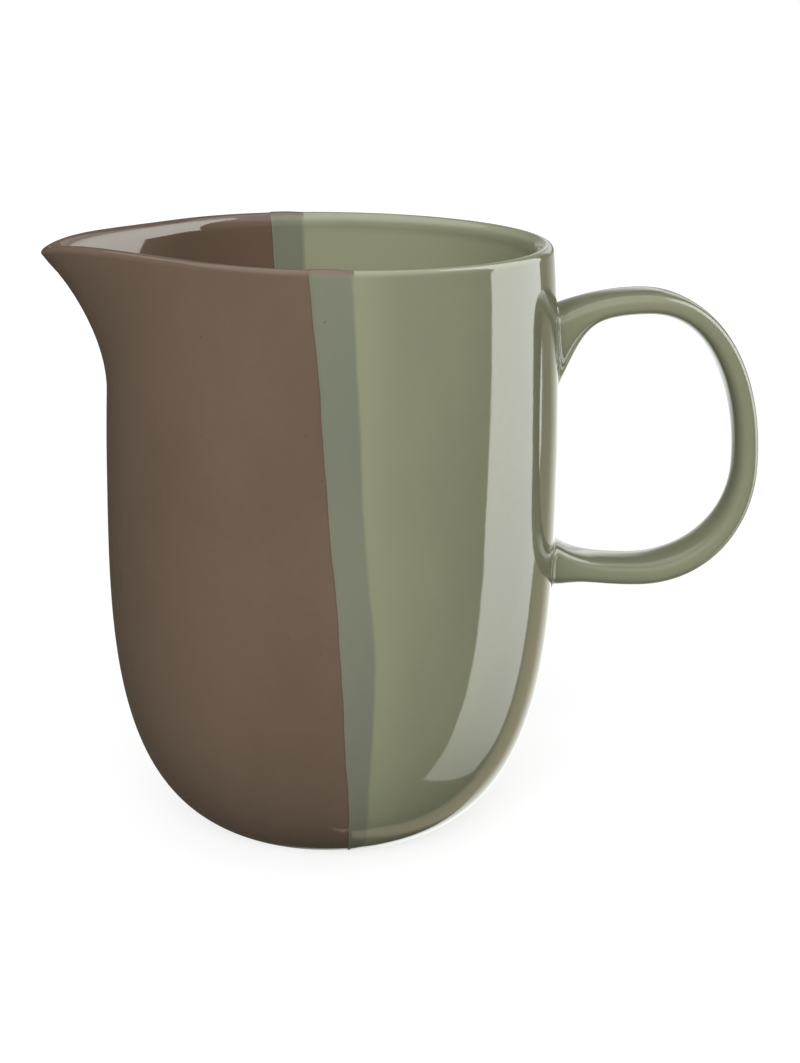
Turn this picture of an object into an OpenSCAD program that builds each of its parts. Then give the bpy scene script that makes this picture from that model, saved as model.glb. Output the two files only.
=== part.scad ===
// Glazed stoneware pitcher: a round-bottomed clay body with a pulled spout,
// a strap handle luted on with slip, and two dipped glazes that meet in a band.
// Millimetres. The foot stands on z = 0, the spout points to -X, the handle to +X.

/* [Body] */
// Height of the rim above the table
height = 149.6; // [138:0.2:172]
// Largest outside diameter of the clay
belly_d = 112.6; // [100:0.2:124]
// Height of the largest diameter
belly_z = 94; // [82:1:104]
// Outside diameter the wall would have at the rim
rim_d = 107; // [98:0.2:112]
// Fullness of the bowl, where 2 is an ellipse and more is squarer
bowl_n = 3.3; // [2.6:0.1:4]
// Thickness of the wall
wall = 4.4; // [3.4:0.1:6]
// Height of the rounded lip
lip_h = 3; // [1.5:0.1:5]
// Thickness of the floor above the foot recess
floor_t = 4.5; // [3:0.5:8]
// Diameter of the flat middle of the floor
floor_d = 30; // [16:1:44]

/* [Foot] */
// Outside diameter of the standing ring
foot_d = 56; // [46:1:64]
// Width of the standing ring
foot_w = 5; // [3:0.5:8]
// Depth of the recess inside the ring
foot_recess = 2; // [1:0.5:4]
// Height of the bare clay left below the glaze
bare_edge = 1.6; // [1:0.1:4]

/* [Spout] */
// Reach of the tip beyond the round rim
spout_reach = 19.2; // [8:0.2:24]
// Depth of the throat below the rim
spout_depth = 37; // [28:1:44]
// Curve of the throat, where 1 is straight and more bends late
throat_curve = 1.8; // [1.4:0.1:2.6]
// Droop of the tip below the rim
spout_droop = 3.5; // [0:0.5:6]
// Rounding of the tip, in degrees about the body's axis
tip_round = 4; // [2:0.5:8]

/* [Handle] */
// Drop from the rim to the middle of the top bar
handle_drop = 15.1; // [12:0.1:22]
// Height of the loop between the middles of its bars
handle_h = 70.2; // [56:0.1:78]
// Height of the farthest point above the middle of the lower bar
handle_bulge = 28.2; // [22:0.1:46]
// Farthest point of the strap's middle beyond the belly
handle_out = 50.6; // [40:0.1:60]
// Where the two bars run level, beyond the belly
handle_turn = 22.5; // [16:0.5:28]
// Squareness of the far side of the loop, where 2 is an ellipse
bend_n = 2.1; // [2:0.1:3]
// Ease of the bars as they bend in towards the wall
handle_ease = 49; // [36:1:60]
// Thickness of the strap at the top bar
strap_top = 5.2; // [4:0.1:9]
// Thickness of the strap at its farthest point
strap_far = 5; // [3:0.1:8]
// Thickness of the strap at the lower bar
strap_low = 5.9; // [4:0.1:9]
// Width of the strap
strap_w = 17; // [11:0.5:22]
// Width of the strap at its farthest point
strap_waist = 11; // [8:0.5:22]
// Squareness of the strap's section
strap_n = 2.8; // [2:0.1:4]
// How far the upper root runs down the wall
root_drop = 14.1; // [6:0.1:18]
// How far the lower root swells up and down
root_swell = 2.4; // [0:0.1:5]
// How far the roots widen to the sides
root_spread = 4; // [0:0.5:7]
// Length over which the roots fade into the strap
root_len = 5.8; // [3:0.1:8]
// Curve of that fade, where 1 is a long tail and more is a rounder nose
root_curve = 1.7; // [1.2:0.1:2.6]
// Thickness of the slip that joins the roots to the wall
slip_t = 1; // [0.7:0.1:2]

/* [Glaze] */
// Thickness of one coat
glaze_t = 0.4; // [0.3:0.05:0.6]
// Thickness where both coats lie
overlap_t = 0.6; // [0.4:0.05:0.9]
// Height at which the dip lines are placed
dip_z = 75; // [60:1:90]
// Edge of the green coat over the brown one
brown_x = -5.6; // [-12:0.2:-4]
// Lean of that edge, in degrees from upright
brown_lean = 4.8; // [3:0.1:6]
// Turn of that edge, in degrees about the axis
brown_turn = 1.3; // [0:0.1:3]
// Edge of the brown coat under the green one
green_x = 1.3; // [0:0.2:8]
// Lean of that edge, in degrees from upright
green_lean = 2.7; // [1:0.1:4]
// Turn of that edge, in degrees about the axis
green_turn = 1.9; // [0:0.1:3]

/* [Hidden] */
$fn = 120;

belly_r = belly_d / 2;
rim_r = rim_d / 2;
foot_r = foot_d / 2;
floor_z = foot_recess + floor_t;
lip_z = height - lip_h;
throat_z = height - spout_depth;
stretch_max = 1 + spout_reach / rim_r;

// Points along each stretch of the wall's section
N_LOW = 18;
N_UP = 9;
N_LIP = 8;

// Height of a whole bowl curve whose end is cut off flat at radius r_flat
function curve_h(h, r, r_flat) = h / pow(1 - pow(r_flat / r, bowl_n), 1 / bowl_n);

// A bowl of radius r at the belly, closing to r_flat at a depth h below it
function bowl(z, h, r, r_flat) = r * pow(1 - pow((belly_z - z) / curve_h(h, r, r_flat), bowl_n), 1 / bowl_n);

// Outer radius of the clay: a superellipse below the belly, a shallow parabola above it
function r_out(z) = z < belly_z
    ? bowl(z, belly_z, belly_r, foot_r)
    : belly_r - (belly_r - rim_r) * pow((z - belly_z) / (height - belly_z), 2);

// Inner radius: a superellipse up from the floor, then one wall inside the outer face
function r_in(z) = z < belly_z
    ? bowl(z, belly_z - floor_z, belly_r - wall, floor_d / 2)
    : r_out(z) - wall;

// A height between two others, closer to the lower one where the curve is tight
function ease(z0, z1, i, n, p) = z0 + (z1 - z0) * pow(i / n, p);

// The wall's section, up the outside, over the lip and down the inside to the floor's middle
low_out = [for (i = [0:N_LOW - 1]) let (z = ease(bare_edge, throat_z, i, N_LOW, 1.7)) [r_out(z), z]];
up_out = [for (i = [0:N_UP - 1]) let (z = ease(throat_z, lip_z, i, N_UP, 1)) [r_out(z), z]];
lip_mid = (r_out(lip_z) + r_in(lip_z)) / 2;
lip_half = (r_out(lip_z) - r_in(lip_z)) / 2;
lip = [for (i = [0:N_LIP]) let (a = 180 * i / N_LIP) [lip_mid + lip_half * cos(a), lip_z + lip_h * sin(a)]];
up_in = [for (i = [N_UP - 1:-1:0]) let (z = ease(throat_z, lip_z, i, N_UP, 1)) [r_in(z), z]];
low_in = [for (i = [N_LOW - 1:-1:0]) let (z = ease(floor_z, throat_z, i, N_LOW, 1.9)) [r_in(z), z]];
section = concat(low_out, up_out, lip, up_in, low_in, [[0, floor_z]]);
LAST = len(section) - 1;
// The section crosses the throat's height here on its way up and here on its way down
UP = N_LOW;
DOWN = UP + 2 * N_UP + N_LIP;

ring_in = foot_r - foot_w;
underside = [[0, foot_recess], [ring_in - foot_recess / 2, foot_recess], [ring_in, 0], [foot_r, 0]];

function part(line, i0, i1) = [for (i = [i0:i1]) line[i]];
function back(line) = [for (i = [len(line) - 1:-1:0]) line[i]];

// Outward unit normal of the section at one of its points: upright on the flat floor, and level at the
// throat so that a coat can be parted there
function out_dir(i) = i >= LAST - 1 ? [0, 1]
    : i == UP ? [1, 0]
    : i == DOWN ? [-1, 0]
    : let (d = section[i + 1] - section[max(0, i - 1)]) [d.y, -d.x] / norm(d);

// The section pushed outwards by g
function coat_line(g) = [for (i = [0:LAST]) section[i] + g * out_dir(i)];

// Stretch of the spout: each level is a circle with two tangents that meet in a rounded tip.
// a is the angle from the spout's middle, z the level.
function tip_stretch(z) = 1 + (stretch_max - 1) * pow(max(0, z - throat_z) / spout_depth, throat_curve);
function stretch(a, z) =
    let (tangent = acos(1 / tip_stretch(z)))
    1 / cos(max(0, tangent - sqrt(a * a + tip_round * tip_round) + tip_round));
function droop(s) = spout_droop * pow((s - 1) / (stretch_max - 1), 4);

// Half-angle of the sector that holds the whole spout, and how far its ends lap over the round wall
spout_a = acos(1 / stretch_max) + tip_round + 3;
lap = 1;
N_SPOUT = 28;
// The spout's flat facets stand this far outside the round wall, so that no edge of one lies on the other
seam = 0.04;

// A point of the section or of its coat, carried round to angle a of the spout and stretched
function spout_point(p, z, a) =
    let (s = stretch(a, z)) [-p.x * s * cos(a), -p.x * s * sin(a), p.y - droop(s)];

// A solid through equal closed loops, whose ends are closed across from point j to its opposite
module loft(loops) {
    n = len(loops);
    m = len(loops[0]);
    half = floor(m / 2);
    function at(k, j) = k * m + j % m;
    sides = [for (k = [0:n - 2]) for (j = [0:m - 1]) each [
        [at(k, j), at(k, j + 1), at(k + 1, j + 1)],
        [at(k, j), at(k + 1, j + 1), at(k + 1, j)]]];
    cap = [for (j = [0:half - 1]) each concat(
        [[j, m - 1 - j, j + 1]],
        j + 1 < m - 2 - j ? [[j + 1, m - 1 - j, m - 2 - j]] : [])];
    first = [for (t = cap) if (t[1] != t[2]) t];
    last = [for (t = first) [for (v = [t[2], t[1], t[0]]) (n - 1) * m + v]];
    polyhedron([for (l = loops) each l], concat(sides, first, last), convexity = 6);
}

spout_angles = [for (k = [0:N_SPOUT]) spout_a * (2 * k / N_SPOUT - 1)];
function spout_arch(g, a) =
    let (line = coat_line(g + seam)) [for (i = [UP:DOWN]) spout_point(line[i], section[i].y, a)];

// The spout's wall in clay, and a coat of thickness g on it
module spout_clay() { loft([for (a = spout_angles) spout_arch(0, a)]); }
module spout_coat(g) {
    intersection() {
        loft([for (a = concat(-spout_a - 2 * lap, spout_angles, spout_a + 2 * lap))
            concat(spout_arch(g, a), back(spout_arch(0, a)))]);
        spout_sector(spout_a + lap);
    }
}

// All space of the spout's side within half-angle a of its middle
module spout_sector(a) {
    rotate_extrude(angle = 2 * a, start = 180 - a) square([2 * belly_d, 2 * height]);
}

// The upper wall turned all round but for a sector of half-angle a
module rim_turn(a) {
    rotate_extrude(angle = 360 - 2 * a, start = 180 + a) children();
}

// A solid as large as the clay body with a coat of thickness g, without spout or hollow
module filled(g) {
    line = part(coat_line(g), 0, UP + N_UP);
    rotate_extrude() polygon(concat([[0, line[0].y]], line, [[0, line[len(line) - 1].y]]));
}

// A coat of thickness g on the round body, inside and out
module round_coat(g) {
    rotate_extrude() polygon(concat(coat_line(g), back(section)));
}

// All space on the handle's side of a dip line
module dip_side(x, lean, turn) {
    size = 4 * height;
    translate([x, 0, dip_z]) rotate([0, -lean, turn]) translate([0, -size / 2, -size / 2]) cube(size);
}

module past_brown() { dip_side(brown_x, brown_lean, brown_turn); }
module past_green() { dip_side(green_x, green_lean, green_turn); }

// The handle's middle line: four quarters of ellipses, level at the bars and upright at the farthest point
bar_x = belly_r + handle_turn;
top_z = height - handle_drop;
far_z = top_z - handle_h + handle_bulge;
root_x = belly_r - 2 * wall;
root_a = acos((root_x - bar_x) / handle_ease);
N_BAR = 15;
N_BEND = 28;
N_STRAP = 20;

function bend_tall(a) = a > 0 ? handle_h - handle_bulge : handle_bulge;
function signed_pow(v, p) = sign(v) * pow(abs(v), p);

function strap_mid(a) = cos(a) > 0
    ? [bar_x + (handle_out - handle_turn) * pow(cos(a), 2 / bend_n),
       far_z + bend_tall(a) * signed_pow(sin(a), 2 / bend_n)]
    : [bar_x + handle_ease * cos(a), far_z + bend_tall(a) * sin(a)];

// Which way is out of the loop: square to the middle line on the bend, straight up or down on the bars
function strap_out(a) = cos(a) > 0
    ? let (p = 2 - 2 / bend_n, wide = handle_out - handle_turn,
           d = [bend_tall(a) * pow(cos(a), p), wide * signed_pow(sin(a), p)])
      d / norm(d)
    : [0, sign(a)];

// How strongly a root has set in: 1 at the wall, fading outwards
function root(a) =
    let (p = strap_mid(a))
    cos(a) > 0 ? 0 : exp(-pow(max(0, p.x - r_out(p.y)) / root_len, root_curve));

// One loop of the strap at angle a of the middle line, grown by g
function strap_loop(a, g) =
    let (p = strap_mid(a), o = strap_out(a), k = root(a),
         far = pow(max(0, cos(a)), 2),
         half = (far * strap_far + (1 - far) * (a > 0 ? strap_top : strap_low)) / 2 + g,
         outer = half + (a > 0 ? 0 : root_swell * k),
         inner = half + (a > 0 ? root_drop : root_swell) * k,
         side = (far * strap_waist + (1 - far) * strap_w) / 2 + g + root_spread / 2 * k)
    [for (j = [0:N_STRAP - 1])
        let (f = 360 * (j + 0.5) / N_STRAP, q = signed_pow(sin(f), 2 / strap_n) * (sin(f) > 0 ? outer : inner))
        [p.x + o.x * q, -side * signed_pow(cos(f), 2 / strap_n), p.y + o.y * q]];

strap_angles = concat(
    [for (i = [0:N_BAR - 1]) root_a + (90 - root_a) * i / N_BAR],
    [for (i = [0:N_BEND]) 90 - 180 * i / N_BEND],
    [for (i = [1:N_BAR]) -90 - (root_a - 90) * i / N_BAR]);

// The strap from one of its loops to another, grown by g; all of it runs on into the body
STRAP_END = len(strap_angles) - 1;
module strap(g = 0, i0 = 0, i1 = STRAP_END) {
    loft([for (i = [i0:i1]) strap_loop(strap_angles[i], g)]);
}

// The bar of the strap that holds one root
module upper_bar() { strap(i1 = N_BAR); }
module lower_bar() { strap(i0 = STRAP_END - N_BAR); }

// The slip under a root: the strap's own outline, between the wall and the strap's end
module slip_pad() {
    intersection() {
        children();
        difference() {
            filled(slip_t);
            filled(0);
        }
    }
}

module body() {
    color("burlywood") {
        rotate_extrude() polygon(concat(underside, part(section, 0, UP), part(section, DOWN, LAST)));
        rim_turn(spout_a - lap) polygon(part(section, UP, DOWN));
        spout_clay();
    }
}

module handle() {
    color("tan") difference() {
        strap();
        filled(slip_t);
    }
}

module upper_handle_joint() { color("wheat") slip_pad() upper_bar(); }

module lower_handle_joint() { color("wheat") slip_pad() lower_bar(); }

module brown_glaze() {
    line = coat_line(glaze_t);
    color([0.43, 0.36, 0.31]) difference() {
        union() {
            rotate_extrude() polygon(concat(part(line, 0, UP), back(part(section, 0, UP))));
            rotate_extrude() polygon(concat(part(line, DOWN, LAST), back(part(section, DOWN, LAST))));
            rim_turn(spout_a) polygon(concat(part(line, UP, DOWN), back(part(section, UP, DOWN))));
            spout_coat(glaze_t);
        }
        past_brown();
    }
}

module green_glaze() {
    color([0.53, 0.54, 0.44]) difference() {
        intersection() {
            round_coat(glaze_t);
            past_green();
        }
        upper_bar();
        lower_bar();
    }
}

module glaze_overlap() {
    color([0.5, 0.52, 0.46]) difference() {
        intersection() {
            round_coat(overlap_t);
            past_brown();
        }
        past_green();
    }
}

module handle_glaze() {
    color([0.53, 0.54, 0.44]) difference() {
        strap(glaze_t, 1, STRAP_END - 1);
        strap();
        filled(glaze_t);
    }
}

body();
handle();
upper_handle_joint();
lower_handle_joint();
brown_glaze();
green_glaze();
glaze_overlap();
handle_glaze();
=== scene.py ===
# %% [markdown]
# # A stoneware pitcher dipped in two glazes
# The pitcher is thrown in clay, given a pulled spout and a handle, and then dipped twice: its spout
# side in brown glaze and its handle side in green. Where the two dips cross, a band of both shows.
# This lesson rebuilds each coat of glaze as a surface worked out with numpy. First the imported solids
# are loaded as a fixed frame, because every new piece has to lie where a solid lies.

# %% Load the frame
import math

import bpy
import numpy as np
from mathutils import Matrix, Vector


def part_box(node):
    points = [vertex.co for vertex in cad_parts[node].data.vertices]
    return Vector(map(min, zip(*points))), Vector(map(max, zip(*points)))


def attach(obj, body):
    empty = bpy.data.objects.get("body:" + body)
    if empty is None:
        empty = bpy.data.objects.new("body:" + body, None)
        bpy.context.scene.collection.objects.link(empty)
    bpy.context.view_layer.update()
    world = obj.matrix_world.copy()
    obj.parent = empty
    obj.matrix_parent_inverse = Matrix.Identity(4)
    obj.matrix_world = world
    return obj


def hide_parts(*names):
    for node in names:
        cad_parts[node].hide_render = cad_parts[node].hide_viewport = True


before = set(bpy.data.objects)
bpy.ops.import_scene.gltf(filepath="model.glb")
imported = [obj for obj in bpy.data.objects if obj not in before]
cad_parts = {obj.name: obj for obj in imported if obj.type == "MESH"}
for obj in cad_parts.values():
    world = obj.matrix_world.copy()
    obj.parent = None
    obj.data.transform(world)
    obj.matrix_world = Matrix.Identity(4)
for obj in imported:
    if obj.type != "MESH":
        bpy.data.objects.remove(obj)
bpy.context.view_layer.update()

MM = 0.001
print("solids:", sorted(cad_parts))

# %% [markdown]
# ## The pot's own sizes
# A potter measures in millimetres, so the shapes below are worked out in millimetres and turned into
# metres only when a mesh is made. The values are those of the solids, and the print compares them
# with the frame. Only the lip's edge and the spout's tip are drawn a little finer than the solids.

# %% Sizes of the thrown pot
HEIGHT = 149.6
BELLY_R = 56.3
BELLY_Z = 94.0
RIM_R = 53.5
BOWL_POWER = 3.3
WALL = 4.4
LIP_H = 3.0
FLOOR_Z = 6.5
FLOOR_R = 15.0
FOOT_R = 28.0
FOOT_W = 5.0
FOOT_RECESS = 2.0
BARE_EDGE = 1.6
LIP_EDGE = 1.4
LIP_CREST = 0.32
LIP_Z = HEIGHT - LIP_H
EDGE_Z = HEIGHT - LIP_EDGE
GLAZE = 0.4
OVERLAP = 0.6

body_low, body_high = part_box("body")
print("belly radius and height:", BELLY_R, HEIGHT)
print("the frame's:", round(body_high.y / MM, 2), round(body_high.z / MM, 2))

# %% [markdown]
# ## The wall, seen in section
# On the wheel every level of the pot is a circle, so one curve describes the whole wall: up the
# outside, over the rounded lip, down the inside and across the floor. A spun curve or a Screw modifier
# could turn it, but the spout breaks the symmetry, so the section is kept as arrays and turned.

# %% The section of the wall
def bowl(z, depth, radius, flat):
    """Radius of a bowl at height z: a quarter of a superellipse, upright at the belly, that comes in
    to the radius flat at the depth below the belly."""
    full = depth / (1 - (flat / radius) ** BOWL_POWER) ** (1 / BOWL_POWER)
    below = np.maximum(BELLY_Z - z, 0) / full
    return radius * (1 - below ** BOWL_POWER) ** (1 / BOWL_POWER)


def outer_radius(z):
    """Radius of the outside: the bowl below the belly, a parabola drawing in to the rim above it."""
    rise = np.maximum(z - BELLY_Z, 0) / (HEIGHT - BELLY_Z)
    return bowl(z, BELLY_Z, BELLY_R, FOOT_R) - (BELLY_R - RIM_R) * rise ** 2


def inner_radius(z):
    """Radius of the inside: a bowl down to the flat floor, and one wall less than the outside above."""
    below = bowl(z, BELLY_Z - FLOOR_Z, BELLY_R - WALL, FLOOR_R)
    return np.where(z < BELLY_Z, below, outer_radius(z) - WALL)


def section(n_outside, n_lip, n_inside, n_floor):
    """Radius and height along the wall: outside from the bare edge upwards, two quarters of ellipses
    over the lip, the inside downwards, and the floor to the middle. The lip's crest lies nearer the
    outside, where its edge is tighter. Rows crowd where the bowl turns."""
    up = BARE_EDGE + (EDGE_Z - BARE_EDGE) * np.linspace(0, 1, n_outside, endpoint=False) ** 1.6
    turn = np.linspace(0, np.pi, n_lip, endpoint=False)
    down = FLOOR_Z + (LIP_Z - FLOOR_Z) * np.linspace(1, 0, n_inside, endpoint=False) ** 1.8
    floor = np.linspace(FLOOR_R, 0, n_floor)
    lip_out, lip_in = outer_radius(np.array(EDGE_Z)), inner_radius(np.array(LIP_Z))
    crest = lip_out - LIP_CREST * (lip_out - lip_in)
    lip_r = crest + np.where(turn < np.pi / 2, lip_out - crest, crest - lip_in) * np.cos(turn)
    lip_z = HEIGHT - np.where(turn < np.pi / 2, LIP_EDGE, LIP_H) * (1 - np.sin(turn))
    r = np.concatenate([outer_radius(up), lip_r, inner_radius(down), floor])
    z = np.concatenate([up, lip_z, down, np.full(n_floor, FLOOR_Z)])
    return r, z


def section_normal(r, z):
    """Unit normal of the section, out of the clay: the direction along it turned by a right angle."""
    dr, dz = np.gradient(r), np.gradient(z)
    length = np.hypot(dr, dz)
    return dz / length, -dr / length


row_r, row_z = section(78, 26, 60, 8)
normal_r, normal_z = section_normal(row_r, row_z)
row_along = np.concatenate([[0], np.cumsum(np.hypot(np.diff(row_r), np.diff(row_z)))])
row_from_rim = row_along - row_along[np.argmax(row_z)]
row_outside = row_from_rim < 0
print("rows along the section:", len(row_r), "over", round(row_along[-1]), "mm of wall")

# %% [markdown]
# ## The pulled spout
# A potter pulls the soft rim out between two fingers. Seen from above, the rim is then a circle with
# two straight tangents that meet in a blunt, rounded tip. Lower down the tip draws back until the
# level is round again. So the spout isn't a piece of its own: each level of the wall is stretched.

# %% Stretch of the spout
SPOUT_REACH = 19.2
SPOUT_DEPTH = 37.0
THROAT_POWER = 1.8
SPOUT_DROOP = 2.9
TIP_ROUND = math.radians(4)
TIP_BLUNT = 1.7
THROAT_Z = HEIGHT - SPOUT_DEPTH
STRETCH_MAX = 1 + SPOUT_REACH / RIM_R


def wrapped(angle):
    """The same angle between minus half a turn and half a turn."""
    return (angle + np.pi) % (2 * np.pi) - np.pi


def stretch(angle, level):
    """How far the wall stands out at an angle from the spout's middle: the tip's stretch grows as a
    power of the level, and a parabola stops the growth towards the crest so that the tip is blunt.
    The tangents follow one over a cosine, with a rounded middle."""
    near_crest = np.maximum(level - HEIGHT + 2 * TIP_BLUNT, 0)
    up = np.maximum(level - near_crest ** 2 / (4 * TIP_BLUNT) - THROAT_Z, 0) / SPOUT_DEPTH
    tip = 1 + (STRETCH_MAX - 1) * up ** THROAT_POWER
    from_middle = np.sqrt(wrapped(angle) ** 2 + TIP_ROUND ** 2) - TIP_ROUND
    return 1 / np.cos(np.maximum(np.arccos(1 / tip) - from_middle, 0))


def turned(r, z, level, angle):
    """Points of the pot: a radius and height carried round to an angle from the spout, stretched
    outwards, and let down by the fourth power of the stretch at the spout's tip."""
    s = stretch(angle, level)
    droop = SPOUT_DROOP * ((s - 1) / (STRETCH_MAX - 1)) ** 4
    return np.stack([-r * s * np.cos(angle), -r * s * np.sin(angle), z - droop], axis=-1)


tip = turned(RIM_R, HEIGHT, HEIGHT, np.array(0.0))
print("spout's tip:", tip.round(1), "the frame's:", round(body_low.x / MM, 1))

# %% [markdown]
# ## From grids to meshes
# A grid of points becomes a mesh by joining neighbours with four-sided faces. Where a grid closes on
# itself, as at a seam or a pole, its points lie on each other, so they are welded, and faces that
# shrink to nothing or lie back to back are dropped. All of it is index arithmetic on whole arrays.

# %% Mesh helpers
WELD = 1e-4


def grid_faces(rows, columns):
    """Four corners of each cell of a grid whose points are numbered row by row."""
    corner = np.arange(rows - 1)[:, None] * columns + np.arange(columns - 1)
    return np.stack([corner, corner + 1, corner + columns + 1, corner + columns], -1).reshape(-1, 4)


def shell_faces(rows, columns):
    """Faces of a closed coat: an outer grid, an inner grid turned round, and walls along the border."""
    outer = np.arange(rows * columns).reshape(rows, columns)
    inner = outer + rows * columns
    walls = [
        [inner[0, :-1], inner[0, 1:], outer[0, 1:], outer[0, :-1]],
        [outer[-1, :-1], outer[-1, 1:], inner[-1, 1:], inner[-1, :-1]],
        [outer[:-1, 0], outer[1:, 0], inner[1:, 0], inner[:-1, 0]],
        [inner[:-1, -1], inner[1:, -1], outer[1:, -1], outer[:-1, -1]],
    ]
    front = grid_faces(rows, columns)
    back = front[:, ::-1] + rows * columns
    return np.concatenate([front, back, *[np.stack(w, -1) for w in walls]])


def once(faces):
    """The faces that don't share all their corners with another."""
    _, where, count = np.unique(np.sort(faces, axis=1), axis=0, return_inverse=True, return_counts=True)
    return faces[count[where.ravel()] == 1]


def weld(points, faces):
    """Joins points that lie on each other. Returns which points stay, and the faces between them:
    whole ones, and those that lost a corner as triangles."""
    spots = np.round(points / WELD).astype(np.int64)
    _, first, number = np.unique(spots, axis=0, return_index=True, return_inverse=True)
    faces = number.ravel()[faces]
    kept = faces != np.roll(faces, -1, axis=1)
    corners = kept.sum(axis=1)
    whole = faces[corners == 4]
    whole = whole[(whole[:, 0] != whole[:, 2]) & (whole[:, 1] != whole[:, 3])]
    thin = corners == 3
    triangles = faces[thin][kept[thin]].reshape(-1, 3)
    return first, once(whole), once(triangles)


def add_piece(name, node, slot, points, faces, normals=None, values=None):
    """A mesh object from points in millimetres, which stands for a CAD node and rides on the root.
    Values are named numbers kept at each point for the materials."""
    first, whole, triangles = weld(points, faces)
    mesh = bpy.data.meshes.new(name)
    mesh.from_pydata(points[first] * MM, [], whole.tolist() + triangles.tolist())
    mesh.update()
    mesh.shade_smooth()
    for label, numbers in (values or {}).items():
        attribute = mesh.attributes.new(label, "FLOAT", "POINT")
        attribute.data.foreach_set("value", numbers[first].astype(np.float32))
    if normals is not None:
        mesh.normals_split_custom_set_from_vertices(normals[first])
    piece = bpy.data.objects.new(name, mesh)
    bpy.context.scene.collection.objects.link(piece)
    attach(piece, "root")
    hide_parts(node)
    print(name, "has", len(first), "points and", len(whole) + len(triangles), "faces")
    return piece


# %% [markdown]
# ## The clay body
# Under the glaze is one thrown body. Only its foot stays bare: a ring that was wiped clean before the
# firing, so that it doesn't stick to the kiln's shelf. The underside is recessed inside the ring. The
# section is carried on round the foot, and one grid turned all the way makes a closed solid.

# %% Clay body
FOOT_ROUND = 0.6


def foot_section(n_arc=5):
    """Radius and height of the underside: the recess from its middle, a slope down to the ring, and a
    quarter of a circle at each edge of the ring's flat."""
    inside = FOOT_R - FOOT_W
    quarter = np.linspace(0, np.pi / 2, n_arc)
    recess_r = np.linspace(0, inside - FOOT_RECESS / 2, 10)
    inner_r = inside + FOOT_ROUND * (1 - np.cos(quarter))
    outer_r = FOOT_R - FOOT_ROUND * (1 - np.sin(quarter))
    r = np.concatenate([recess_r, inner_r, outer_r])
    z = np.concatenate([
        np.full(10, FOOT_RECESS),
        FOOT_ROUND * (1 - np.sin(quarter)),
        FOOT_ROUND * (1 - np.cos(quarter)) / 2])
    return r, z


def clay_body(columns=240):
    """The whole section, foot first, turned round the axis as one grid that closes on itself."""
    foot_r, foot_z = foot_section()
    wall_r, wall_z = section(54, 18, 44, 6)
    r = np.concatenate([foot_r, wall_r])[:, None]
    z = np.concatenate([foot_z, wall_z])[:, None]
    angle = np.linspace(-np.pi, np.pi, columns + 1)[None, :]
    points = turned(r, z, z, angle)
    return points.reshape(-1, 3), grid_faces(*points.shape[:2])


body = add_piece("clay_body", "body", "bare_clay", *clay_body())

# %% [markdown]
# ## Two dips and the band between them
# Each dip leaves a nearly straight edge, the level of the glaze in the bucket while the pot hung at a
# slant. The edge isn't a ruled line: it wanders a little, and where the wet glaze ran it sags. So each
# edge is a plane through the pot plus a few slow waves, and for every row of the section it gives the
# angle at which the row crosses it, once at the front and once at the back.

# %% Edges of the dips
DIP_Z = 75.0
BROWN_X = -5.6
BROWN_LEAN = math.radians(4.8)
BROWN_TURN = math.radians(1.3)
GREEN_X = 1.3
GREEN_LEAN = math.radians(2.7)
GREEN_TURN = math.radians(1.9)
RUN_Z = 60.0
RUN_SPREAD = 24.0
RUN_OUT = 1.7


def wander(along, sway, start):
    """How far an edge strays from its plane, in millimetres: three sine waves along the wall that get
    shorter and weaker, and none near the middle of the floor."""
    waves = (np.sin(along / 9.7 + start) + 0.5 * np.sin(along / 4.1 + 2.3 * start)
             + 0.3 * np.sin(along / 1.7 + 4.1 * start))
    return sway * waves * np.clip(row_r / FLOOR_R - 1, 0, 1)


def crossing(x, lean, turn, strays):
    """Angle from the plane's own direction at which each row crosses the plane, moved by strays. A row
    that never meets it counts as crossing at half a turn or none."""
    reach = x * math.cos(turn) - (row_z - DIP_Z) * math.tan(lean) + strays
    return np.arccos(np.clip(-reach / np.maximum(row_r, 1e-9), -1, 1))


BROWN_SWAY = 0.16
GREEN_SWAY = 0.12
green_run = RUN_OUT * np.exp(-((row_z - RUN_Z) / RUN_SPREAD) ** 2) * row_outside
brown_front = crossing(BROWN_X, BROWN_LEAN, BROWN_TURN, wander(row_along, BROWN_SWAY, 0.4))
brown_back = crossing(BROWN_X, BROWN_LEAN, BROWN_TURN, wander(row_along, BROWN_SWAY, 2.9))
green_front = crossing(GREEN_X, GREEN_LEAN, GREEN_TURN, green_run + wander(row_along, GREEN_SWAY, 1.7))
green_back = crossing(GREEN_X, GREEN_LEAN, GREEN_TURN, wander(row_along, GREEN_SWAY, 3.6))
belt = np.argmin(abs(row_z - DIP_Z) + 1e3 * ~row_outside)
band = (GREEN_TURN + green_front[belt] - BROWN_TURN - brown_front[belt]) * row_r[belt]
print("the band is", round(band, 1), "mm wide at mid height")

# %% [markdown]
# ## Coats of glaze
# A coat follows the clay at the thickness of the glaze. Two coats lie on each other in the band, so
# it stands a fifth of a millimetre proud: a crisp step at the edge of the second dip, and a slow slope
# where the first ends beneath it. Each coat is a closed shell that meets its neighbour point for point.
# Blender would average the normals of a shell's border with its walls and show a seam, so the normals
# are taken from the surface itself, worked out one column past each border.

# %% Coat surfaces
STEP_W = 0.7
FADE_W = 4.5
BROWN_COLUMNS = 201
GREEN_COLUMNS = 181
BAND_COLUMNS = 49


def eased(x):
    """A smooth step from 0 to 1: three squares less two cubes."""
    x = np.clip(x, 0, 1)
    return x * x * (3 - 2 * x)


def past_edge(angle, turn, front, back):
    """Distance along the wall from a dip's edge, in millimetres, positive on the handle's side."""
    away = wrapped(angle - turn)
    edge = np.where(away > 0, front[:, None], back[:, None])
    return (abs(away) - edge) * row_r[:, None]


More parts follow.
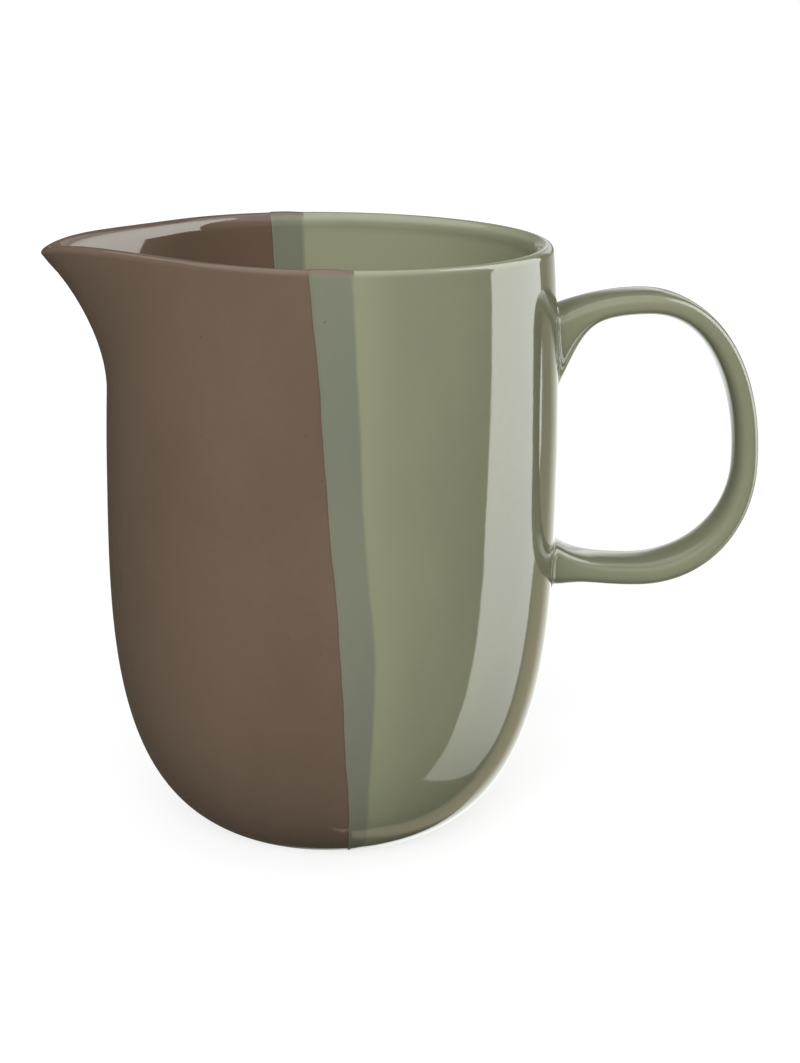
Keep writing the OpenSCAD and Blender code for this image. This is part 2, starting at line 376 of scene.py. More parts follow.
def coat_grid(first, last, shares):
    """Points and marks of a coat between two angles of every row. The thickness is one coat, and in
    the band a second one that sets in over a step and fades over a slope."""
    angle = first[:, None] + (last - first)[:, None] * shares
    past_brown = past_edge(angle, BROWN_TURN, brown_front, brown_back)
    past_green = past_edge(angle, GREEN_TURN, green_front, green_back)
    second = eased(past_brown / STEP_W) * eased(-past_green / FADE_W)
    thick = GLAZE + (OVERLAP - GLAZE) * second
    level = row_z[:, None]
    outside = turned(row_r[:, None] + thick * normal_r[:, None],
                     level + thick * normal_z[:, None], level, angle)
    on_clay = turned(row_r[:, None] + 0 * thick, level + 0 * thick, level, angle)
    rim = np.broadcast_to(row_from_rim[:, None], angle.shape)
    return outside, on_clay, {"past_brown": past_brown, "past_green": past_green, "from_rim": rim}


def surface_normal(points):
    """Unit normal of a grid: the cross product of its two directions, and straight up at a pole."""
    across = np.cross(np.gradient(points, axis=1), np.gradient(points, axis=0))
    length = np.linalg.norm(across, axis=-1, keepdims=True)
    return np.where(length > 1e-9, across / np.maximum(length, 1e-12), (0.0, 0.0, 1.0))


def coat(first, last, shares):
    """A closed shell between two angles of every row: points, faces, normals and marks. One spare
    column at each side serves the normals and is then cut off."""
    spare = np.concatenate([[2 * shares[0] - shares[1]], shares, [2 * shares[-1] - shares[-2]]])
    outside, on_clay, marks = coat_grid(first, last, spare)
    normal = surface_normal(outside)
    cut = (slice(None), slice(1, -1))
    points = np.concatenate([outside[cut].reshape(-1, 3), on_clay[cut].reshape(-1, 3)])
    normals = np.concatenate([normal[cut].reshape(-1, 3), -normal[cut].reshape(-1, 3)])
    values = {name: np.tile(mark[cut].ravel(), 2) for name, mark in marks.items()}
    return points, shell_faces(*outside[cut].shape[:2]), normals, values


def both(one, other):
    """Two shells as one set of points, faces, normals and marks."""
    faces = np.concatenate([one[1], other[1] + len(one[0])])
    values = {name: np.concatenate([one[3][name], other[3][name]]) for name in one[3]}
    return np.concatenate([one[0], other[0]]), faces, np.concatenate([one[2], other[2]]), values


# Columns crowd at the spout's middle on the brown coat, and at the crisp step on the band.
crowded = np.linspace(-1, 1, BROWN_COLUMNS)
brown_shares = 0.5 + 0.5 * (0.45 * crowded + 0.55 * crowded ** 3)
brown_shell = coat(BROWN_TURN - brown_back, BROWN_TURN + brown_front, brown_shares)
brown = add_piece("brown_coat", "brown_glaze", "brown_glaze", *brown_shell)

green_end = 2 * np.pi + GREEN_TURN - green_back
green_shell = coat(GREEN_TURN + green_front, green_end, np.linspace(0, 1, GREEN_COLUMNS))
green = add_piece("green_coat", "green_glaze", "green_glaze", *green_shell)

band_shares = np.linspace(0, 1, BAND_COLUMNS) ** 1.5
front_shell = coat(BROWN_TURN + brown_front, GREEN_TURN + green_front, band_shares)
back_shell = coat(GREEN_TURN - green_back, BROWN_TURN - brown_back, 1 - band_shares[::-1])
overlap = add_piece("overlap_coat", "glaze_overlap", "overlap_glaze", *both(front_shell, back_shell))

# %% [markdown]
# ## The handle
# The handle is a strap of clay, pulled to an even thickness, bent into a loop and pressed on at both
# ends. Its section is a flattened superellipse that is carried along the loop. Towards the wall the
# strap swells into a root, and the last millimetre curves out into the wall, where slip and glaze
# fill the corner.

# %% Handle path and section
HANDLE_TOP = HEIGHT - 15.1
HANDLE_H = 70.2
BULGE = 28.2
HANDLE_OUT = 50.6
HANDLE_TURN = 22.5
BEND_POWER = 2.1
EASE = 49.0
STRAP_TOP = 5.2
STRAP_FAR = 5.0
STRAP_LOW = 5.9
STRAP_W = 17.0
STRAP_WAIST = 11.0
STRAP_POWER = 2.8
ROOT_DROP = 14.1
ROOT_SWELL = 2.4
ROOT_SPREAD = 4.0
ROOT_LEN = 5.8
ROOT_CURVE = 1.7
ROOT_END = 1.6
CORNER = 1.5
BAR_X = BELLY_R + HANDLE_TURN
FAR_Z = HANDLE_TOP - HANDLE_H + BULGE


def signed_power(v, p):
    """A power that keeps the sign."""
    return np.sign(v) * abs(v) ** p


def strap_middle(a):
    """Middle line of the strap, x and z: quarters of superellipses on the far side of the bars, and
    of long ellipses on the wall's side."""
    c, s = np.cos(a), np.sin(a)
    tall = np.where(a > 0, HANDLE_H - BULGE, BULGE)
    bend = 2 / BEND_POWER
    x = BAR_X + np.where(c > 0, (HANDLE_OUT - HANDLE_TURN) * np.maximum(c, 0) ** bend, EASE * c)
    z = FAR_Z + tall * np.where(c > 0, signed_power(s, bend), s)
    return x, z


def strap_outward(a):
    """Direction out of the loop, x and z: square to the bend, and straight up or down on the bars."""
    c, s = np.maximum(np.cos(a), 0), np.sin(a)
    power = 2 - 2 / BEND_POWER
    tall = np.where(a > 0, HANDLE_H - BULGE, BULGE)
    x = np.where(np.cos(a) > 0, tall * c ** power, 0)
    z = np.where(np.cos(a) > 0, (HANDLE_OUT - HANDLE_TURN) * signed_power(s, power), np.sign(a))
    length = np.hypot(x, z)
    return x / length, z / length


def strap(a, f, grow):
    """Points of the strap: at angle a of the loop stands a superellipse of angle f, whose thickness
    goes from the bars to the far side, and swells by a fading root at the wall."""
    a = a[:, None]
    f = f[None, :]
    x, z = strap_middle(a)
    out_x, out_z = strap_outward(a)
    gap = np.maximum(x - outer_radius(z), 0)
    root = np.where(np.cos(a) > 0, 0, np.exp(-(gap / ROOT_LEN) ** ROOT_CURVE))
    far = np.maximum(np.cos(a), 0) ** 2
    half = (far * STRAP_FAR + (1 - far) * np.where(a > 0, STRAP_TOP, STRAP_LOW)) / 2 + grow
    over = half + np.where(a > 0, 0, ROOT_SWELL) * root
    under = half + np.where(a > 0, ROOT_DROP, ROOT_SWELL) * root
    side = (far * STRAP_WAIST + (1 - far) * STRAP_W) / 2 + grow + ROOT_SPREAD / 2 * root
    q = signed_power(np.sin(f), 2 / STRAP_POWER) * np.where(np.sin(f) > 0, over, under)
    y = -side * signed_power(np.cos(f), 2 / STRAP_POWER)
    return np.stack([x + out_x * q, np.broadcast_to(y, q.shape), z + out_z * q], axis=-1)


# %% Handle coat
BAR_ROWS = 70
BEND_ROWS = 130
RING_COLUMNS = 73


def bar_angles(sign, count):
    """Angles along one bar, from the bend to just inside the wall, crowded towards the wall."""
    a = np.linspace(90, 150, 2001)
    x, z = strap_middle(np.radians(sign * a))
    depth = x - outer_radius(z)
    end = np.interp(ROOT_END, -depth, a)
    shares = 1 - np.linspace(1, 0, count) ** 1.7
    return np.radians(sign * (90 + (end - 90) * shares))


def corner_flare(points):
    """Fills the corner at the wall: each point is pushed away from its loop's middle by the gap that
    a quarter of a circle leaves between strap and wall."""
    x, y, z = np.moveaxis(points, -1, 0)
    clear = np.hypot(x, y) - outer_radius(z) - GLAZE
    near = np.clip(CORNER - clear, 0, CORNER)
    lift = CORNER - np.sqrt(CORNER ** 2 - near ** 2)
    middle = (points.max(axis=1, keepdims=True) + points.min(axis=1, keepdims=True)) / 2
    away = points - middle
    away[..., 0] = 0
    length = np.maximum(np.linalg.norm(away, axis=-1, keepdims=True), 1e-9)
    return points + lift[..., None] * away / length


loop = np.concatenate([
    bar_angles(1, BAR_ROWS)[::-1],
    np.radians(np.linspace(90, -90, BEND_ROWS)[1:-1]),
    bar_angles(-1, BAR_ROWS)])
ring = np.radians(np.linspace(0, 360, RING_COLUMNS))
points = corner_flare(strap(loop, ring, GLAZE))
middles = np.repeat(points[[0, -1]].mean(axis=1, keepdims=True), len(ring), axis=1)
points = np.concatenate([middles[:1], points, middles[1:]])
handle = add_piece("handle_coat", "handle_glaze", "handle_glaze",
                   points.reshape(-1, 3), grid_faces(*points.shape[:2]))

# %% [markdown]
# ## Glaze as a material
# Stoneware glaze is a thin layer of glass over clay. Its colour mottles slowly and carries a few dark
# specks of iron, and its face swells and ripples very slightly. These belong to every coat, so they
# are one node group with named sockets, which each glaze uses with its own colours.

# %% The shared glaze group
def link_math(tree, operation, a, b=None, c=None):
    """A Math node whose inputs are numbers or sockets; returns its output."""
    node = tree.nodes.new("ShaderNodeMath")
    node.operation = operation
    for socket, value in zip(node.inputs, (a, b, c)):
        if isinstance(value, (int, float)):
            socket.default_value = value
        elif value is not None:
            tree.links.new(value, socket)
    return node.outputs[0]


def link_mix(tree, share, a, b):
    """A colour Mix node whose inputs are colours or sockets; returns its result."""
    node = tree.nodes.new("ShaderNodeMix")
    node.data_type = "RGBA"
    for socket, value in ((node.inputs["Factor"], share), (node.inputs[6], a), (node.inputs[7], b)):
        if isinstance(value, (int, float, tuple)):
            socket.default_value = value
        else:
            tree.links.new(value, socket)
    return node.outputs[2]


def link_range(tree, value, low, high, to_low=0.0, to_high=1.0):
    """A smooth Map Range from low and high to two numbers; returns its result."""
    node = tree.nodes.new("ShaderNodeMapRange")
    node.interpolation_type = "SMOOTHSTEP"
    tree.links.new(value, node.inputs["Value"])
    for label, number in (("From Min", low), ("From Max", high), ("To Min", to_low), ("To Max", to_high)):
        node.inputs[label].default_value = number
    return node.outputs["Result"]


def link_noise(tree, vector, scale, detail=2.0):
    """A Noise texture on a vector; returns its value."""
    node = tree.nodes.new("ShaderNodeTexNoise")
    node.inputs["Scale"].default_value = scale
    node.inputs["Detail"].default_value = detail
    tree.links.new(vector, node.inputs["Vector"])
    return node.outputs["Fac"]


def link_scaled(tree, vector, factors):
    """A vector with each of its parts multiplied by its own factor."""
    node = tree.nodes.new("ShaderNodeVectorMath")
    node.operation = "MULTIPLY"
    node.inputs[1].default_value = factors
    tree.links.new(vector, node.inputs[0])
    return node.outputs["Vector"]


def link_specks(tree, vector, per_metre, radius, share):
    """Small dots: the spots of a Voronoi texture nearer than a radius, in a share of its cells."""
    node = tree.nodes.new("ShaderNodeTexVoronoi")
    node.inputs["Scale"].default_value = per_metre
    tree.links.new(vector, node.inputs["Vector"])
    parts = tree.nodes.new("ShaderNodeSeparateColor")
    tree.links.new(node.outputs["Color"], parts.inputs["Color"])
    chosen = link_math(tree, "LESS_THAN", parts.outputs[0], share)
    dot = link_range(tree, node.outputs["Distance"], radius, 0.4 * radius)
    return link_math(tree, "MULTIPLY", dot, chosen)


def make_group(name, inputs, outputs):
    """An empty shader node group with named sockets; returns its tree, inputs and outputs."""
    tree = bpy.data.node_groups.new(name, "ShaderNodeTree")
    for label, kind in inputs:
        tree.interface.new_socket(label, in_out="INPUT", socket_type=kind)
    for label, kind in outputs:
        tree.interface.new_socket(label, in_out="OUTPUT", socket_type=kind)
    return tree, tree.nodes.new("NodeGroupInput").outputs, tree.nodes.new("NodeGroupOutput").inputs


def glaze_group():
    """Colour, roughness and height of a fired glaze from a place and three colours."""
    tree, given, put = make_group(
        "fired_glaze",
        [("Place", "NodeSocketVector"), ("Colour", "NodeSocketColor"), ("Second", "NodeSocketColor"),
         ("Speck", "NodeSocketColor"), ("Specks", "NodeSocketFloat")],
        [("Colour", "NodeSocketColor"), ("Roughness", "NodeSocketFloat"), ("Height", "NodeSocketFloat")])
    place = given["Place"]
    cloud = link_noise(tree, link_scaled(tree, place, (1.0, 1.0, 0.6)), 34.0, 3.0)
    fine = link_noise(tree, place, 420.0, 2.0)
    mottle = link_math(tree, "MULTIPLY_ADD", fine, 0.2, link_math(tree, "MULTIPLY", cloud, 0.8))
    colour = link_mix(tree, link_range(tree, mottle, 0.33, 0.67), given["Colour"], given["Second"])
    dots = link_specks(tree, place, per_metre=260.0, radius=0.09, share=0.12)
    dots = link_math(tree, "MULTIPLY", dots, given["Specks"])
    tree.links.new(link_mix(tree, dots, colour, given["Speck"]), put["Colour"])
    grain = link_noise(tree, place, 900.0, 2.0)
    tree.links.new(link_range(tree, grain, 0.3, 0.7, 0.045, 0.075), put["Roughness"])
    swell = link_noise(tree, place, 55.0, 1.0)
    ripple = link_noise(tree, place, 420.0, 1.0)
    height = link_math(tree, "MULTIPLY_ADD", ripple, 0.06, swell)
    tree.links.new(height, put["Height"])
    return tree


FIRED_GLAZE = glaze_group()
print("glaze group sockets:", [s.name for s in FIRED_GLAZE.interface.items_tree])

# %% [markdown]
# ## The four glazes
# The same group colours all four coats. Where the glaze runs thin over the lip, the clay shows through
# as a paler line. On the green the lip is palest inwards and the inside is paler as well: that is painted
# light, standing in for the light that falls on the rim from above and into the pot. A fine dark line
# runs along the brown where the second dip begins, and just past the band the green is a little
# yellower. The points of each coat carry their distances from the rim and from both dips as
# attributes, so a shader can read them by name.

# %% Glaze materials
def srgb(r, g, b):
    """A colour written in the 0 to 255 of a picture, as the linear values that a shader takes."""
    v = np.array([r, g, b]) / 255
    linear = np.where(v <= 0.04045, v / 12.92, ((v + 0.055) / 1.055) ** 2.4)
    return (*linear.tolist(), 1.0)


def new_material(name):
    """A node material; returns it with its tree and its Principled BSDF."""
    material = bpy.data.materials.new(name)
    material.use_nodes = True
    return material, material.node_tree, material.node_tree.nodes["Principled BSDF"]


def mark(tree, name):
    """A number that the points carry under a name."""
    node = tree.nodes.new("ShaderNodeAttribute")
    node.attribute_name = name
    return node.outputs["Fac"]


def glaze_material(name, colour, second, speck, specks, finish):
    """A glazed surface: the shared group, then finish, a function that changes its colour where the
    coat thins or ends, and a smooth glassy shader with a faint bump."""
    material, tree, shader = new_material(name)
    group = tree.nodes.new("ShaderNodeGroup")
    group.node_tree = FIRED_GLAZE
    place = tree.nodes.new("ShaderNodeTexCoord")
    tree.links.new(place.outputs["Object"], group.inputs["Place"])
    group.inputs["Colour"].default_value = colour
    group.inputs["Second"].default_value = second
    group.inputs["Speck"].default_value = speck
    group.inputs["Specks"].default_value = specks
    tree.links.new(finish(tree, group.outputs["Colour"]), shader.inputs["Base Color"])
    tree.links.new(group.outputs["Roughness"], shader.inputs["Roughness"])
    bump = tree.nodes.new("ShaderNodeBump")
    bump.inputs["Strength"].default_value = 0.15
    bump.inputs["Distance"].default_value = 0.0006
    tree.links.new(group.outputs["Height"], bump.inputs["Height"])
    tree.links.new(bump.outputs["Normal"], shader.inputs["Normal"])
    shader.inputs["IOR"].default_value = 1.5
    return material


def thin_glaze_and_painted_light_lip(tree, colour, pale, outside, inside):
    """The colour, going over to a paler one on the lip, where the glaze runs thin; on the green's inner
    rim the paler colour is painted light. Outside and inside say how far from the crest the change begins
    and ends on each side."""
    rim = mark(tree, "from_rim")
    down_out = link_range(tree, rim, -outside[0], -outside[1])
    down_in = link_range(tree, rim, inside[0], inside[1])
    return link_mix(tree, link_math(tree, "MULTIPLY", down_out, down_in), colour, pale)


def brown_finish(tree, colour):
    """A deeper inside, a paler lip, and a fine dark line where the second dip begins."""
    inside = link_range(tree, mark(tree, "from_rim"), 2.0, 7.0)
    colour = link_mix(tree, inside, colour, srgb(108, 88, 75))
    colour = thin_glaze_and_painted_light_lip(tree, colour, srgb(115, 99, 87), (1.8, 0.4), (2.0, 0.4))
    line = link_range(tree, mark(tree, "past_brown"), -0.5, -0.05, 0.0, 0.35)
    return link_mix(tree, line, colour, srgb(84, 66, 58))


def green_finish(tree, colour):
    """A yellower strip beside the band, a paler inside, and a pale lip that is palest inwards. The paler
    inside and the inward paleness of the lip are painted light.
    """
    strip = link_range(tree, mark(tree, "past_green"), 11.0, 0.0)
    colour = link_mix(tree, strip, colour, srgb(140, 143, 116))
    # Painted light: the inside of the green coat is paler, standing in for light that falls into the pot.
    inside = link_range(tree, mark(tree, "from_rim"), 3.2, 7.0)
    colour = link_mix(tree, inside, colour, srgb(151, 154, 126))
    # Painted light in part: the green lip is paler, most of all on its inner side, for light from above on
    # the rim; the rest is glaze run thin.
    colour = thin_glaze_and_painted_light_lip(tree, colour, srgb(156, 159, 134), (1.7, 0.4), (4.2, 1.3))
    return thin_glaze_and_painted_light_lip(tree, colour, srgb(155, 159, 135), (-0.6, -1.4), (3.3, 1.7))


def overlap_finish(tree, colour):
    """A pinkish lip, and the green coming through where the brown coat ends beneath."""
    edge = link_range(tree, mark(tree, "past_green"), -1.1, 0.0)
    colour = link_mix(tree, edge, colour, srgb(140, 144, 115))
    return thin_glaze_and_painted_light_lip(tree, colour, srgb(114, 102, 86), (1.9, 1.0), (2.4, 1.2))


def plain_finish(tree, colour):
    """No change."""
    return colour


BROWN_GLAZE = glaze_material(
    "brown_glaze", srgb(105, 89, 76), srgb(111, 94, 81), srgb(62, 50, 42), 0.35, brown_finish)
GREEN_GLAZE = glaze_material(
    "green_glaze", srgb(131, 133, 110), srgb(137, 138, 112), srgb(92, 92, 74), 0.3, green_finish)
OVERLAP_GLAZE = glaze_material(
    "overlap_glaze", srgb(118, 122, 106), srgb(124, 126, 109), srgb(86, 86, 76), 0.6, overlap_finish)
HANDLE_GLAZE = glaze_material(
    "handle_glaze", srgb(131, 134, 110), srgb(137, 139, 114), srgb(92, 92, 74), 0.25, plain_finish)

for piece, material in ((brown, BROWN_GLAZE), (green, GREEN_GLAZE),
                        (overlap, OVERLAP_GLAZE), (handle, HANDLE_GLAZE)):
    piece.data.materials.append(material)
    print(piece.name, "wears", material.name)

# %% [markdown]
# ## Bare clay
# Fired stoneware without glaze is matt and sandy. The foot shows it, with the rings that the turning
# tool left. The handle and the slip that holds it on lie under the glaze and wear the same clay.

# %% Clay materials
def clay_material(name, colour, second, rings):
    """Matt clay: two colours mixed by fine noise, and a bump of grains and of turning rings."""
    material, tree, shader = new_material(name)
    place = tree.nodes.new("ShaderNodeTexCoord").outputs["Object"]
    cloud = link_noise(tree, place, 240.0, 6.0)
    tree.links.new(link_mix(tree, link_range(tree, cloud, 0.35, 0.65), colour, second),
                   shader.inputs["Base Color"])
    grain = link_noise(tree, place, 2600.0, 3.0)
    wave = tree.nodes.new("ShaderNodeTexWave")
    wave.wave_type = "RINGS"
    wave.rings_direction = "Z"
    wave.inputs["Scale"].default_value = 420.0
    wave.inputs["Distortion"].default_value = 0.6
    tree.links.new(place, wave.inputs["Vector"])
    bump = tree.nodes.new("ShaderNodeBump")
    bump.inputs["Strength"].default_value = 0.5
    bump.inputs["Distance"].default_value = 0.0003
    height = link_math(tree, "MULTIPLY_ADD", wave.outputs["Fac"], rings, grain)
    tree.links.new(height, bump.inputs["Height"])
    tree.links.new(bump.outputs["Normal"], shader.inputs["Normal"])
    tree.links.new(link_range(tree, cloud, 0.3, 0.7, 0.8, 0.92), shader.inputs["Roughness"])
    return material


CLAY = clay_material("bare_clay", srgb(176, 150, 122), srgb(150, 124, 98), 0.5)
HANDLE_CLAY = clay_material("handle_clay", srgb(172, 147, 120), srgb(150, 126, 102), 0.0)
SLIP = clay_material("slip", srgb(186, 164, 138), srgb(168, 146, 120), 0.0)
body.data.materials.append(CLAY)
hidden = (("handle", HANDLE_CLAY), ("upper_handle_joint", SLIP), ("lower_handle_joint", SLIP))
for node, material in hidden:
    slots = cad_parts[node].data.materials
    slots.clear()
    slots.append(material)
    print(node, "wears", material.name)

# %% [markdown]
# ## Camera
# The camera stands a little above the rim, to the left of the pitcher's front, with a lens long enough
# to keep the verticals straight. Its axes are written out from three angles, because the picture is
# also turned by about a degree.

# %% Camera
CAMERA_PLACE = np.array([-51.58, -547.85, 225.32]) * MM
CAMERA_YAW = math.radians(7.186)
CAMERA_PITCH = math.radians(15.237)
CAMERA_ROLL = math.radians(1.047)
LENS = 75.66
RIGHT = np.array([math.cos(CAMERA_YAW), -math.sin(CAMERA_YAW), 0])
AHEAD = np.array([math.sin(CAMERA_YAW), math.cos(CAMERA_YAW), 0])
UP = np.array([0.0, 0.0, 1.0])


def camera_axes():
    """Right, up and back of the camera: the level axes tipped by the pitch, then rolled."""
    ahead = AHEAD * math.cos(CAMERA_PITCH) - UP * math.sin(CAMERA_PITCH)
    up = AHEAD * math.sin(CAMERA_PITCH) + UP * math.cos(CAMERA_PITCH)
    c, s = math.cos(CAMERA_ROLL), math.sin(CAMERA_ROLL)
    return RIGHT * c + up * s, up * c - RIGHT * s, -ahead


def add_camera():
    """A camera whose rotation matrix has these axes as its columns."""
    data = bpy.data.cameras.new("camera")
    data.sensor_width = 36.0
    data.lens = LENS
    camera = bpy.data.objects.new("camera", data)
    bpy.context.scene.collection.objects.link(camera)
    turn = Matrix(np.stack(camera_axes(), axis=1).tolist()).to_4x4()
    turn.translation = CAMERA_PLACE
    camera.matrix_world = turn
    bpy.context.scene.camera = camera
    return camera


camera = add_camera()
print("camera at", [round(v, 3) for v in camera.location], "lens", LENS)

# %% [markdown]
# ## White floor and background
# The pitcher stands on pale paper that goes on past the picture's edge. Lit paper alone would look grey
# beside the white world, so for the camera's own rays the paper glows a little as well. The glow adds
# no light to the pitcher, and the paper still darkens in its shadow. Mirrors don't see the paper: the
# cards of the next step stand in for it.

# %% Floor and world
FLOOR_SIZE = 14.0
PAPER_GLOW = 0.80
FAR_GLOW = 0.92
AMBIENT = 0.38


def add_stage(name, points, material):
    """A sheet that isn't part of the pitcher, from a grid of points in metres."""
    mesh = bpy.data.meshes.new(name)
    mesh.from_pydata(points.reshape(-1, 3), [], grid_faces(*points.shape[:2]).tolist())
    mesh.materials.append(material)
    sheet = bpy.data.objects.new(name, mesh)
    bpy.context.scene.collection.objects.link(sheet)
    return sheet


def seen_rays(tree):
    """One where a ray comes from the camera, from a mirror or through glass, and zero elsewhere."""
    rays = tree.nodes.new("ShaderNodeLightPath").outputs
    mirrors = link_math(tree, "MAXIMUM", rays["Is Glossy Ray"], rays["Is Transmission Ray"])
    return link_math(tree, "MAXIMUM", rays["Is Camera Ray"], mirrors)


def paper_material():
    """Matt pale paper with a glow that lights nothing else. Far from the lamps the glow grows, so that
    the paper stays white."""
    material, tree, shader = new_material("pale_paper")
    shader.inputs["Base Color"].default_value = (0.3, 0.3, 0.3, 1)
    shader.inputs["Roughness"].default_value = 0.9
    shader.inputs["Specular IOR Level"].default_value = 0.1
    shader.inputs["Emission Color"].default_value = (1, 1, 1, 1)
    far = tree.nodes.new("ShaderNodeVectorMath")
    far.operation = "LENGTH"
    tree.links.new(tree.nodes.new("ShaderNodeTexCoord").outputs["Object"], far.inputs[0])
    glow = link_range(tree, far.outputs["Value"], 0.3, 1.2, PAPER_GLOW, FAR_GLOW)
    seen_glow = link_math(tree, "MULTIPLY", seen_rays(tree), glow)
    tree.links.new(seen_glow, shader.inputs["Emission Strength"])
    return material


def white_world():
    """A white background for the camera and for mirrors, and a dimmer light for everything else."""
    world = bpy.data.worlds.new("white_room")
    world.use_nodes = True
    tree = world.node_tree
    seen = tree.nodes["Background"]
    seen.inputs["Color"].default_value = (1, 1, 1, 1)
    seen.inputs["Strength"].default_value = 1.0
    light = tree.nodes.new("ShaderNodeBackground")
    light.inputs["Color"].default_value = (1, 1, 1, 1)
    light.inputs["Strength"].default_value = AMBIENT
    mix = tree.nodes.new("ShaderNodeMixShader")
    tree.links.new(seen_rays(tree), mix.inputs["Fac"])
    tree.links.new(light.outputs[0], mix.inputs[1])
    tree.links.new(seen.outputs[0], mix.inputs[2])
    tree.links.new(mix.outputs[0], tree.nodes["World Output"].inputs["Surface"])
    bpy.context.scene.world = world


edge = np.array([-FLOOR_SIZE, FLOOR_SIZE])
floor_x, floor_y = np.meshgrid(edge, edge)
floor = add_stage("floor", np.stack([floor_x, floor_y, 0 * floor_x], axis=-1), paper_material())
floor.visible_glossy = False
white_world()
print("floor:", 2 * FLOOR_SIZE, "m square")

# %% [markdown]
# ## What the glaze mirrors
# A glossy pot shows the whole studio, so a photographer hangs cards round it for their reflections
# alone: a tall soft box at the handle's side that draws the bright stripe, dark cloth that keeps the
# glaze deep, and white cards behind that light the handle's edges. Only mirror rays see these sheets
# here, so they change no colour and cast no shadow.

# %% Cards for reflections
BOX_FAR = 3.0
BOX_GLOW = 6.2
CLOTH_GLOW = 0.08
CLOTH_PALE = 0.38
NEAR_BACK = 0.3
NEAR_GLOW = 1.5
FAR_BACK = 1.5
FAR_CARD_GLOW = 1.0
BOX_TINT = (0.97, 1.0, 0.95)
CLOTH_TINT = (1.0, 0.87, 0.6)
CARD_TINT = (0.95, 1.0, 0.96)


def around(turn, rise):
    """Unit vectors from the pitcher, at a turn from the camera towards its right and a rise above
    level, both in degrees."""
    turn, rise = np.broadcast_arrays(np.radians(turn), np.radians(rise))
    level = np.sin(turn)[..., None] * RIGHT - np.cos(turn)[..., None] * AHEAD
    return np.cos(rise)[..., None] * level + np.sin(rise)[..., None] * UP


def glow_material(name, tint, clear):
    """Light of one tint whose strength each point of a sheet carries. A clear sheet lets what is
    behind it through as well."""
    material = bpy.data.materials.new(name)
    material.use_nodes = True
    tree = material.node_tree
    tree.nodes.clear()
    glow = tree.nodes.new("ShaderNodeEmission")
    glow.inputs["Color"].default_value = (*tint, 1)
    tree.links.new(mark(tree, "glow"), glow.inputs["Strength"])
    added = tree.nodes.new("ShaderNodeAddShader")
    tree.links.new(glow.outputs[0], added.inputs[0])
    if clear:
        tree.links.new(tree.nodes.new("ShaderNodeBsdfTransparent").outputs[0], added.inputs[1])
    tree.links.new(added.outputs[0], tree.nodes.new("ShaderNodeOutputMaterial").inputs["Surface"])
    return material


def add_card(name, points, glow, tint, clear=False):
    """A glowing sheet that only the rays of mirrors see."""
    card = add_stage(name, points, glow_material(name + "_glow", tint, clear))
    strength = card.data.attributes.new("glow", "FLOAT", "POINT")
    strength.data.foreach_set("value", glow.ravel().astype(np.float32))
    card.visible_camera = False
    card.visible_diffuse = False
    card.visible_transmission = False
    card.visible_volume_scatter = False
    card.visible_shadow = False
    print(name, "has", len(card.data.polygons), "faces")


def soft_box():
    """A patch of a far sphere: its front edge leans, so that the turn grows with the rise, its back edge
    runs through a few points, and its lower edge comes up towards the back. It is dimmer low down and
    towards the back."""
    across = np.linspace(0, 1, 41)[None, :]
    low = -51 + 9 * across ** 2
    rise = low + (62 - low) * np.linspace(0, 1, 41)[:, None]
    left = 87.5 + 0.25 * rise
    back_rise, back_turn = np.transpose([
        (-51, 114), (-43, 116), (-34, 122), (-17, 125.5), (-13, 129.5), (45, 146.5), (50, 140), (62, 138)])
    right = np.interp(rise, back_rise, back_turn)
    glow = BOX_GLOW * (1 - 0.5 * across) * (1 - 0.66 * eased(-rise / 50))
    return BOX_FAR * around(left + (right - left) * across, rise), glow


def dark_cloth():
    """A sphere beyond the soft box, open overhead, with a paler stretch behind the box."""
    turn, rise = np.meshgrid(np.linspace(-180, 180, 145), np.linspace(-90, 45, 55))
    pale = eased((turn - 120) / 10) * eased((164 - turn) / 16) * eased((18 - rise) / 16)
    glow = CLOTH_GLOW + CLOTH_PALE * pale * (1 + 0.6 * eased((-8 - rise) / 14))
    return 1.1 * BOX_FAR * around(turn, rise), glow


def upright(side, height, behind):
    """Points of an upright sheet that faces the camera, a distance behind the pitcher."""
    return side[..., None] * RIGHT + behind * AHEAD + height[..., None] * UP


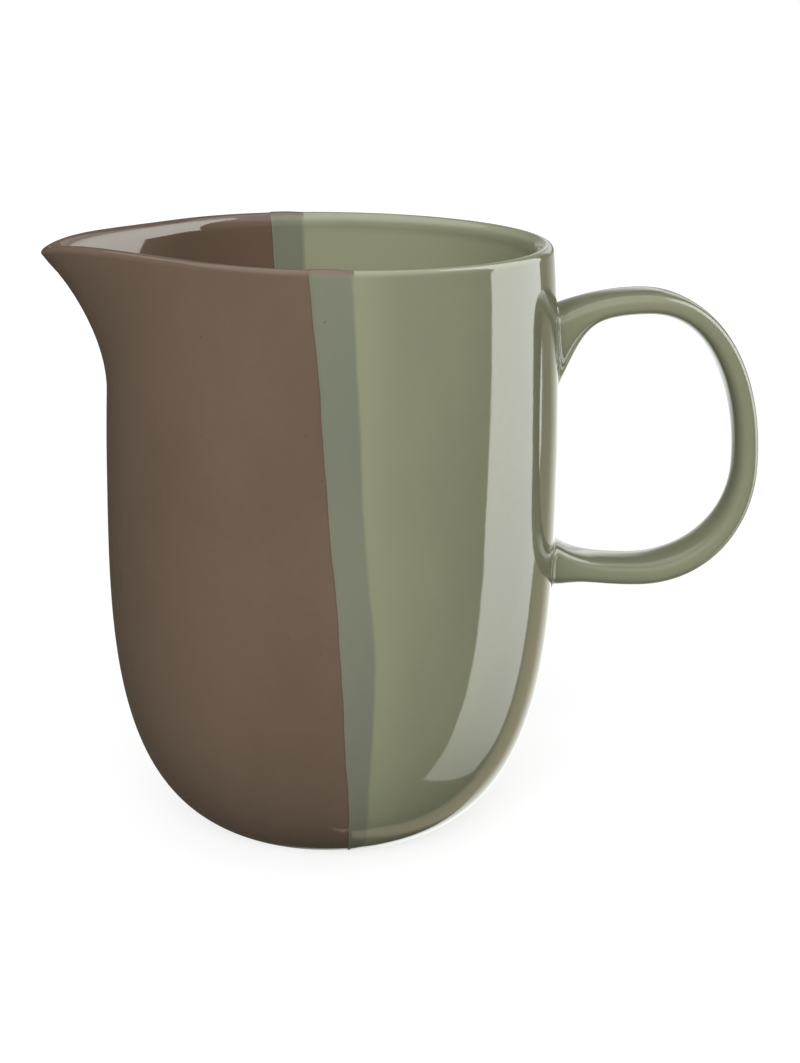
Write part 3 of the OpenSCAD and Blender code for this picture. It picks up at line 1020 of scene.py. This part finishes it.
def near_card():
    """A rectangle close behind the pitcher whose glow dies away upwards and to both sides. The lower
    bar, the far side of the loop and the wall beside the handle mirror it."""
    side, height = np.meshgrid(np.linspace(-0.06, 0.3, 73), np.linspace(-0.3, 0.19, 99))
    sides = eased((side + 0.06) / 0.11) * eased((0.3 - side) / 0.2)
    glow = NEAR_GLOW * sides * eased((0.19 - height) / 0.15)
    return upright(side, height, NEAR_BACK), glow


def far_card():
    """A larger one farther behind, for the top bar and the lip beside the handle. Its glow dies away
    upwards and downwards, is dimmer on the spout's side, and past the handle it stands taller."""
    side, height = np.meshgrid(np.linspace(-0.35, 0.8, 116), np.linspace(0.2, 0.8, 61))
    top = 0.6 + 0.2 * eased((side - 0.32) / 0.12)
    dimmer = 0.4 + 0.6 * eased((side - 0.05) / 0.1)
    glow = FAR_CARD_GLOW * dimmer * eased((height - 0.2) / 0.1) * eased((top - height) / 0.3)
    return upright(side, height, FAR_BACK), glow


add_card("soft_box", *soft_box(), BOX_TINT)
add_card("dark_cloth", *dark_cloth(), CLOTH_TINT)
add_card("near_card", *near_card(), CARD_TINT, clear=True)
add_card("far_card", *far_card(), CARD_TINT, clear=True)

# %% [markdown]
# ## Lamps
# One broad lamp stands above the camera, so both sides of the pitcher shade evenly, and a second one
# hangs overhead and lights the inside. They aren't mirrored themselves: the cards do that.

# %% Lamps
MIDDLE = np.array([0.0, 0.0, 0.08])


def lamp(name, turn, rise, distance, size, power):
    """A square soft lamp that faces the pitcher from a direction and a distance in metres."""
    data = bpy.data.lights.new(name, "AREA")
    data.shape = "SQUARE"
    data.size = size
    data.energy = power
    light = bpy.data.objects.new(name, data)
    bpy.context.scene.collection.objects.link(light)
    away = Vector(around(turn, rise))
    light.location = Vector(MIDDLE) + distance * away
    light.rotation_euler = away.to_track_quat("Z", "Y").to_euler()
    light.visible_glossy = False
    return light


lamp("front_lamp", turn=-4, rise=27, distance=1.6, size=1.0, power=21.0)
lamp("top_lamp", turn=20, rise=75, distance=1.3, size=0.9, power=3.0)

# %% [markdown]
# ## Finish
# Colours are shown as they are, with the plain Standard view.

# %% Finish
bpy.context.scene.view_settings.view_transform = "Standard"
